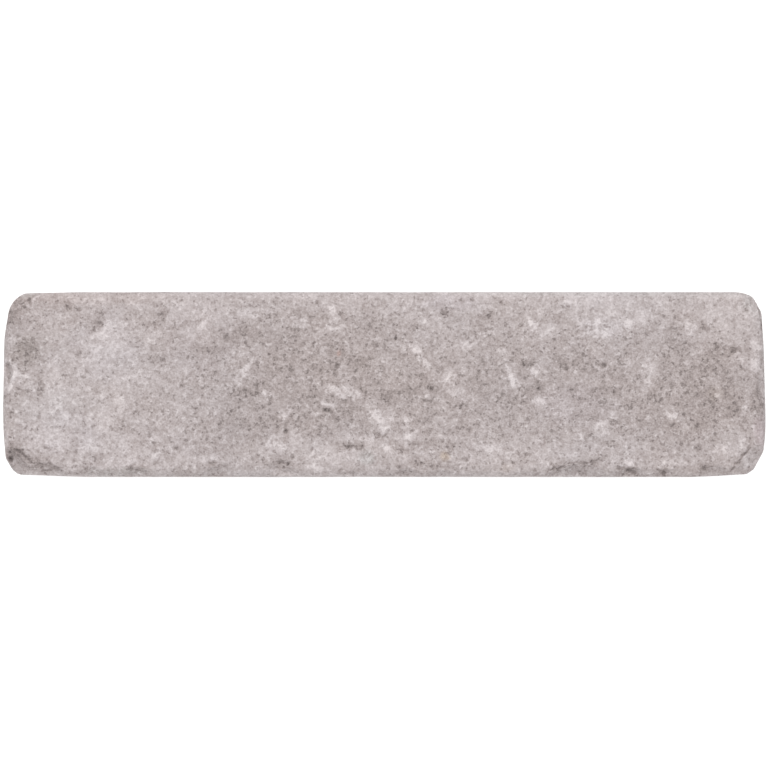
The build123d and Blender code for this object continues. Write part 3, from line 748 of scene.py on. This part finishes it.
# the pale marks are chalk left on the grain, and among them painted highlights: broken up, not an even wash
chalk_and_highlight = 30.0 * np.tanh(np.maximum(marks, 0) / 27.0)
tone += np.minimum(marks, 0) + 0.66 * chalk_and_highlight
# the rounding of the two long edges is rubbed in streaks along it
along_edge = 1 - smooth(6, 15, np.minimum(uy - 291, 478 - uy))
tone += along_edge * noise(V * np.array([0.22, 1.0, 1.0]), 1.9, 56) * 7.0
# the edges a little paler: partly rubbing by other pavers, partly painted light on the rounding, where the overhead
# lamp leaves it darker, most of it along the back edge
tone += 13.0 * (1 - smooth(292, 302, uy)) * (0.5 + 0.5 * smooth(150, 260, ux))
tone += (5.0 * smooth(462, 470, uy) + 3.0 * smooth(472, 476, uy)) * (1 - 1.3 * smooth(535, 590, ux))
tone += 3.2 * smooth(293, 305, uy) * (1 - smooth(308, 318, uy))
tone += 2.0 * smooth(450, 460, uy) * (1 - smooth(463, 472, uy)) + 8.0 * smooth(473, 476.5, uy)
tone += 5.0 * (1 - smooth(3, 8, ux)) + 8.0 * smooth(756, 764, ux) + 4.0 * (1 - smooth(6, 11, ux))
mottle = noise(V, 7.5, 51) * 3.4 + noise(V, 3.6, 52) * 3.0
elsewhere = noise(V, 46.0, 53) * 6.5 + noise(V, 17.0, 54) * 6.0 + noise(V, 8.0, 55) * 4.5 + noise(V, 3.6, 52) * 3.4
# the moulded sides: drawn up out of the mould in faint streaks, then scuffed
elsewhere += noise(V * np.array([1.0, 1.0, 0.12]), 2.6, 57) * 3.2
scuff = smooth(0.12, 0.42, noise(V * np.array([0.7, 0.7, 1.0]), 5.0, 71)) * smooth(-0.05, 0.4, noise(V, 21.0, 72))
scuff = np.maximum(scuff, 0.7 * smooth(0.30, 0.50, noise(V, 2.9, 73)))
second = np.sort(np.abs(N0), 1)[:, 1]
rubbed = smooth(0.22, 0.55, second)
elsewhere += 7.0 * rubbed + 4.0 * scuff
chalk_and_highlight = on_face * chalk_and_highlight + (1 - on_face) * (15.0 * scuff + 5.0 * rubbed)
tone = on_face * (tone + mottle) + (1 - on_face) * (elsewhere - 3.0)

# broken faces show fresh, darker and rougher concrete; edges rubbed by other pavers are paler
fresh = smooth(0.1, 0.9, broken)
tone -= 11.0 * fresh * (1 - on_face)

# tints, as factors on red, green and blue
TINTS = [
    (90, 297, 80, 9, 0, (0.010, -0.004, -0.012)), (700, 294, 90, 5, 0, (-0.006, 0.005, 0.002)),
    (560, 293.5, 110, 3.5, 0, (-0.007, 0.006, 0.003)), (752, 304, 11, 12, 0, (-0.009, 0.008, 0.003)),
    (25, 295, 10, 4, 0, (-0.010, 0.012, 0.004)), (339, 354, 3.4, 3.4, 0, (0.100, -0.060, -0.110)),
    (444.5, 456, 4.2, 5.0, 0, (0.055, 0.000, -0.110)), (367, 458, 8, 9, 0, (-0.022, 0.016, 0.012)),
    (761, 432, 8, 16, 0, (0.012, -0.020, 0.004)), (508, 468, 8, 5, 0, (0.020, 0.004, -0.020)),
    (715, 393, 8, 8, 0, (0.010, 0.006, -0.020)), (105, 345, 40, 40, 0, (-0.004, 0.000, 0.008)),
    (60, 430, 45, 25, 0, (-0.004, -0.001, 0.007)), (450, 303, 28, 10, 0, (-0.004, -0.004, 0.012)),
    (690, 400, 60, 40, 0, (0.004, 0.000, -0.006)), (120, 472, 40, 4, 0, (-0.014, 0.010, 0.006)),
    (28, 350, 16, 18, 0, (0.000, 0.002, -0.012)), (600, 328, 26, 12, 0, (-0.003, 0.001, 0.008)),
    (45, 312, 48, 24, 0, (0.007, -0.001, -0.006)), (45, 405, 48, 24, 0, (-0.009, 0.002, 0.007)),
    (122, 362, 44, 28, 0, (-0.007, 0.000, 0.006)), (200, 338, 44, 40, 0, (-0.005, -0.002, 0.007)),
    (130, 450, 110, 24, 0, (-0.003, -0.001, 0.004)), (572, 405, 40, 24, 0, (-0.002, -0.004, 0.006)),
    (310, 385, 80, 44, 0, (0.003, 0.000, -0.003)), (425, 400, 55, 50, 0, (0.003, 0.000, -0.003)),
    (722, 408, 36, 24, 0, (0.004, 0.000, -0.004)),
]
tint = np.ones((count, 3))
for k in range(3):
    tint[:, k] += on_face * patch(
        [(x, y, rx, ry, a, c[k]) for x, y, rx, ry, a, c in TINTS],
        ux + 0.5 * warp_x,
        uy + 0.5 * warp_y,
        0.3,
    )
drift = noise(V, 22.0, 61) * 0.008 + noise(V, 6.0, 62) * 0.006
tint[:, 0] += drift
tint[:, 2] -= drift

# painted shade in the pits, creases and air holes, together
hollow_shade = np.maximum(np.maximum(pit, groove), hole)

# ---------------------------------------------------------------------------------------------
# The mesh, in metres, with its unwrapping and the maps that its material reads
# ---------------------------------------------------------------------------------------------
mesh = bpy.data.meshes.new("paver_worn")
mesh.from_pydata((V / 1000.0).tolist(), [], [tuple(int(i) for i in f) for f in faces])
mesh.update()


def keep_map(name, values):
    mesh.attributes.new(name, "FLOAT", "POINT").data.foreach_set("value", values.astype(np.float32))


keep_map("tone", tone / 100.0)
# chalk and painted highlight, for the pale marks' broken wash
keep_map("chalk_and_highlight", chalk_and_highlight * (1 - 0.8 * fresh * (1 - on_face)) / 100.0)
# the pit map carries the painted shade in the hollows
keep_map("pit", hollow_shade)
keep_map("wear_face", on_face)
keep_map("arris", smooth(0.05, 0.6, arris))
keep_map("fresh", fresh)
colour = mesh.attributes.new("tint", "FLOAT_COLOR", "POINT")
colour.data.foreach_set("color", np.column_stack([tint, np.ones(count)]).astype(np.float32).ravel())

# Unwrapping: the wear face largest, then the two long sides with an end beside each, then the bed.
# (left, bottom, size of a millimetre) for each part
BIG, MID, SMALL = 0.98 / (2 * L), 0.735 / (2 * L), 0.49 / (2 * L)
PLACES = {
    0: (0.01, 0.73, BIG),
    1: (0.01, 0.455, MID),
    2: (0.78, 0.455, MID),
    3: (0.01, 0.180, MID),
    4: (0.78, 0.180, MID),
    5: (0.01, 0.030, SMALL),
}
part = np.array(sides)
loops = np.zeros(len(mesh.loops), np.int32)
mesh.loops.foreach_get("vertex_index", loops)
totals = np.zeros(len(mesh.polygons), np.int32)
mesh.polygons.foreach_get("loop_total", totals)
loop_part = np.repeat(part, totals)
b = P[loops]
uv = np.zeros((len(loops), 2))
along = {
    0: (b[:, 0] + L, b[:, 1] + W),
    1: (b[:, 0] + L, b[:, 2]),
    2: (b[:, 1] + W, b[:, 2]),
    3: (L - b[:, 0], b[:, 2]),
    4: (W - b[:, 1], b[:, 2]),
    5: (b[:, 0] + L, W - b[:, 1]),
}
for key, (left, bottom, size) in PLACES.items():
    sel = loop_part == key
    uv[sel, 0] = left + along[key][0][sel] * size
    uv[sel, 1] = bottom + along[key][1][sel] * size
layer = mesh.uv_layers.new(name="OFBake")
layer.data.foreach_set("uv", uv.astype(np.float32).ravel())
mesh.polygons.foreach_set("use_smooth", np.ones(len(mesh.polygons), bool))
mesh.update()

paver = bpy.data.objects.new("paver_worn", mesh)
bpy.context.scene.collection.objects.link(paver)


# ---------------------------------------------------------------------------------------------
# Material: tumbled concrete
# ---------------------------------------------------------------------------------------------
class Nodes:
    """Short names for building a node tree."""

    def __init__(self, material):
        material.use_nodes = True
        self.tree = material.node_tree
        self.tree.nodes.clear()

    def add(self, kind, **settings):
        node = self.tree.nodes.new(kind)
        for key, value in settings.items():
            if key in node.inputs:
                node.inputs[key].default_value = value
            else:
                setattr(node, key, value)
        return node

    def join(self, source, target):
        self.tree.links.new(source, target)

    def put(self, socket, value):
        if isinstance(value, (int, float, tuple)):
            socket.default_value = value
        else:
            self.join(value, socket)

    def maths(self, operation, a, b=0.0, c=0.0, clamp=False):
        node = self.add("ShaderNodeMath", operation=operation, use_clamp=clamp)
        for socket, value in zip(node.inputs, (a, b, c)):
            self.put(socket, value)
        return node.outputs[0]

    def spread(self, value, lo, hi, to_lo=0.0, to_hi=1.0, smooth=False):
        node = self.add("ShaderNodeMapRange")
        node.interpolation_type = "SMOOTHSTEP" if smooth else "LINEAR"
        for name, v in (("Value", value), ("From Min", lo), ("From Max", hi), ("To Min", to_lo), ("To Max", to_hi)):
            self.put(node.inputs[name], v)
        return node.outputs["Result"]

    def noise(self, where, scale, detail=2.0, roughness=0.5, distortion=0.0):
        node = self.add(
            "ShaderNodeTexNoise", Scale=scale, Detail=detail, Roughness=roughness, Distortion=distortion
        )
        self.join(where, node.inputs["Vector"])
        return node

    def map(self, name):
        return self.add("ShaderNodeAttribute", attribute_name=name).outputs["Fac"]


def linear(c):
    return tuple(((v / 255 + 0.055) / 1.055) ** 2.4 for v in c)


ALBEDO = 0.76  # the photograph's white is brighter than a white surface, so its greys are less pale
material = bpy.data.materials.new("tumbled_concrete")
n = Nodes(material)
place = n.add("ShaderNodeTexCoord").outputs["Object"]
mm = n.add("ShaderNodeVectorMath", operation="SCALE")
n.join(place, mm.inputs[0])
mm.inputs["Scale"].default_value = 1000.0
mm = mm.outputs[0]

# the sand: grains from half a millimetre up, worn smooth on top, so it shows as shades more than relief
wobble = n.noise(mm, 1.7, 1.0)
bent = n.add("ShaderNodeVectorMath", operation="MULTIPLY_ADD")
n.join(wobble.outputs["Color"], bent.inputs[0])
bent.inputs[1].default_value = (0.4, 0.4, 0.4)
n.join(mm, bent.inputs[2])
bent = bent.outputs[0]


def about_zero(scale, detail=0.0, roughness=0.5, where=None):
    return n.maths("SUBTRACT", n.noise(mm if where is None else where, scale, detail, roughness).outputs["Fac"], 0.5)


grain_1 = about_zero(2.2, 0.8, 0.65)
grain_2 = about_zero(1.15, 0.0, where=bent)
grain_3 = about_zero(0.58)
grain_4 = about_zero(0.27, 0.6)

tone_map = n.map("tone")
ragged = about_zero(1.3, 1.5, 0.6)
depths = n.map("pit")
pit_map = n.spread(n.maths("MULTIPLY_ADD", ragged, 0.8, depths), 0.14, 0.80, smooth=True)
deepest = n.maths("MAXIMUM", n.maths("SUBTRACT", depths, 0.9), 0.0)
# air holes in the moulded sides: round, from a third of a millimetre to over a millimetre
cells = n.add("ShaderNodeTexVoronoi", Scale=0.26)
n.join(mm, cells.inputs["Vector"])
draw = n.add("ShaderNodeSeparateColor")
n.join(cells.outputs["Color"], draw.inputs[0])
reach = n.spread(draw.outputs[0], 0.45, 1.0, 0.0, 0.17)
bubble = n.maths("SUBTRACT", n.maths("MULTIPLY_ADD", ragged, 0.06, reach), cells.outputs["Distance"])
bubble = n.spread(bubble, 0.0, 0.045, smooth=True)
bubble = n.maths("MULTIPLY", bubble, n.spread(n.map("wear_face"), 0.1, 0.6, 1.0, 0.0))
paler = n.maths("MAXIMUM", tone_map, 0.0)
darker = n.maths("MINIMUM", tone_map, 0.0)
crowd = about_zero(0.21, 1.0)  # they come in crowds

# the gaps where a grain has been plucked out: small, dark, each its own crooked shape
gap = n.maths("MULTIPLY_ADD", crowd, 0.13, n.noise(bent, 1.05, 0.8, 0.55).outputs["Fac"])
gap = n.maths("MULTIPLY_ADD", paler, -0.20, n.maths("MULTIPLY_ADD", darker, -0.15, gap))
gap = n.spread(gap, 0.622, 0.695, smooth=True)
# grains of pale sand
fleck = n.maths("MULTIPLY_ADD", crowd, -0.22, n.noise(bent, 0.88, 0.5, 0.5).outputs["Fac"])
fleck = n.spread(n.maths("MULTIPLY_ADD", tone_map, 0.20, fleck), 0.60, 0.74, smooth=True)
# and rags of the pale cement film that tumbling has left here and there
film = n.maths("MULTIPLY_ADD", tone_map, 0.90, n.noise(bent, 0.40, 2.4, 0.68).outputs["Fac"])
film = n.spread(film, 0.58, 0.68, smooth=True)
# in the pale marks it is broken up over the grains
pale_marks_map = n.map("chalk_and_highlight")
rag = n.maths("MULTIPLY_ADD", pale_marks_map, 0.85, n.noise(bent, 0.85, 1.6, 0.62).outputs["Fac"])
rag = n.maths("MULTIPLY", n.spread(rag, 0.550, 0.635, smooth=True), n.maths("MINIMUM", pale_marks_map, 0.22))

# where the paste still covers the sand the grain is faint, where it has worn off it is strong
paste = n.spread(n.maths("MULTIPLY_ADD", grain_4, 0.5, tone_map), -0.09, 0.15, 1.04, 0.72)

level = n.maths("MULTIPLY", grain_1, 0.71)
level = n.maths("MULTIPLY_ADD", grain_2, 0.36, level)
level = n.maths("MULTIPLY_ADD", grain_3, 0.27, level)
level = n.maths("MULTIPLY_ADD", grain_4, 0.15, level)
level = n.maths("MULTIPLY_ADD", gap, -0.26, level)
level = n.maths("MULTIPLY_ADD", fleck, 0.18, level)
level = n.maths("MULTIPLY", level, paste)
level = n.maths("MULTIPLY_ADD", paler, 0.80, level)
level = n.maths("MULTIPLY_ADD", darker, 0.92, level)
level = n.maths("MULTIPLY_ADD", film, 0.085, level)
level = n.maths("MULTIPLY_ADD", rag, 1.15, level)
level = n.maths("SUBTRACT", level, 0.048)
# painted shade in the pits, creases and the air holes of the sides
level = n.maths("MULTIPLY_ADD", pit_map, -0.27, level)
level = n.maths("MULTIPLY_ADD", deepest, -0.38, level)
level = n.maths("MULTIPLY_ADD", bubble, -0.30, level)
shade = n.spread(level, -0.99, 0.51)

ramp = n.add("ShaderNodeValToRGB")
n.join(shade, ramp.inputs[0])
STOPS = [  # luminance on the photograph's scale, and the colour there
    (80, (86, 78, 77)),
    (104, (111, 102, 100)),
    (120, (127, 117, 115)),
    (133, (140, 130, 128)),
    (146, (153.3, 142.9, 140.7)),
    (161, (169.3, 158, 156.2)),
    (175, (182.4, 172.2, 171)),
    (190, (196.5, 187, 186.6)),
    (202, (208.8, 199.8, 199.6)),
    (214, (218.2, 209.4, 209.1)),
    (230, (227, 218.5, 218)),
]
elements = ramp.color_ramp.elements
while len(elements) < len(STOPS):
    elements.new(0.5)
for element, (lum, c) in zip(elements, STOPS):
    element.position = (lum - 80) / 150
for element, (lum, c) in zip(elements, STOPS):
    element.color = (*[v * ALBEDO for v in linear(c)], 1.0)
tinted = n.add("ShaderNodeMix", data_type="RGBA", blend_type="MULTIPLY")
tinted.inputs["Factor"].default_value = 1.0
n.join(ramp.outputs["Color"], tinted.inputs["A"])
n.join(n.add("ShaderNodeAttribute", attribute_name="tint").outputs["Color"], tinted.inputs["B"])

shader = n.add("ShaderNodeBsdfPrincipled")
n.join(tinted.outputs["Result"], shader.inputs["Base Color"])
shader.inputs["IOR"].default_value = 1.45
shader.inputs["Specular IOR Level"].default_value = 0.35
n.join(n.spread(grain_2, -0.3, 0.3, 0.97, 0.84), shader.inputs["Roughness"])

# relief too fine for the mesh
height = n.maths("MULTIPLY", grain_1, 0.8)
height = n.maths("MULTIPLY_ADD", grain_2, 1.3, height)
height = n.maths("MULTIPLY_ADD", gap, -0.55, height)
height = n.maths("MULTIPLY_ADD", fleck, 0.25, height)
height = n.maths("MULTIPLY_ADD", film, 0.20, height)
height = n.maths("MULTIPLY_ADD", bubble, -1.6, height)
bump = n.add("ShaderNodeBump")
bump.inputs["Strength"].default_value = 0.8
bump.inputs["Distance"].default_value = 0.00020
n.join(height, bump.inputs["Height"])
n.join(bump.outputs[0], shader.inputs["Normal"])
n.join(shader.outputs[0], n.add("ShaderNodeOutputMaterial").inputs["Surface"])
mesh.materials.append(material)

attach(paver, "root")
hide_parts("paver")

# ---------------------------------------------------------------------------------------------
# Floor, light and camera
# ---------------------------------------------------------------------------------------------
floor_mesh = bpy.data.meshes.new("floor")
s = 3.0
floor_mesh.from_pydata([(-s, -s, 0), (s, -s, 0), (s, s, 0), (-s, s, 0)], [], [(0, 1, 2, 3)])
floor = bpy.data.objects.new("floor", floor_mesh)
bpy.context.scene.collection.objects.link(floor)
floor_material = bpy.data.materials.new("pale_floor")
f = Nodes(floor_material)
f_shader = f.add("ShaderNodeBsdfPrincipled")
f_shader.inputs["Base Color"].default_value = (0.93, 0.93, 0.93, 1)
f_shader.inputs["Roughness"].default_value = 0.9
f_shader.inputs["Specular IOR Level"].default_value = 0.1
f.join(f_shader.outputs[0], f.add("ShaderNodeOutputMaterial").inputs["Surface"])
floor_mesh.materials.append(floor_material)

world = bpy.data.worlds.new("studio")
bpy.context.scene.world = world
w = Nodes(world)
back = w.add("ShaderNodeBackground")
back.inputs["Color"].default_value = (1, 1, 1, 1)
back.inputs["Strength"].default_value = 0.60
seen = w.add("ShaderNodeBackground")
seen.inputs["Color"].default_value = (1, 1, 1, 1)
seen.inputs["Strength"].default_value = 1.0
both = w.add("ShaderNodeMixShader")
w.join(w.add("ShaderNodeLightPath").outputs["Is Camera Ray"], both.inputs[0])
w.join(back.outputs[0], both.inputs[1])
w.join(seen.outputs[0], both.inputs[2])
w.join(both.outputs[0], w.add("ShaderNodeOutputWorld").inputs["Surface"])


def lamp_from(name, toward, spread, strength):
    """A broad soft lamp far off in this direction. A white floor that it lights squarely is this bright."""
    light = bpy.data.lights.new(name, "SUN")
    light.energy = strength * math.pi
    light.angle = math.radians(spread)
    lamp = bpy.data.objects.new(name, light)
    bpy.context.scene.collection.objects.link(lamp)
    lamp.rotation_euler = Vector(toward).to_track_quat("Z", "Y").to_euler()
    return lamp


lamp_from("overhead", (0.0, 0.0, 1.0), 1.2, 0.68)
lamp_from("side", (-0.30, 0.82, 0.50), 35.0, 0.27)

camera_data = bpy.data.cameras.new("camera")
camera = bpy.data.objects.new("camera", camera_data)
bpy.context.scene.collection.objects.link(camera)
camera_data.sensor_width = 36.0
camera_data.lens = 500.0
camera_data.clip_start = 0.01
camera_data.clip_end = 20.0
distance = 500.0 * (768 * PX / 1000.0) / 36.0
camera.location = ((384 - PX_X) * PX / 1000.0, -(384 - PX_Y) * PX / 1000.0, distance + 0.0685)
camera.rotation_euler = (0, 0, 0)
bpy.context.scene.camera = camera

bpy.context.scene.view_settings.view_transform = "Standard"
bpy.context.scene.view_settings.look = "None"
bpy.context.scene.view_settings.exposure = 0.0
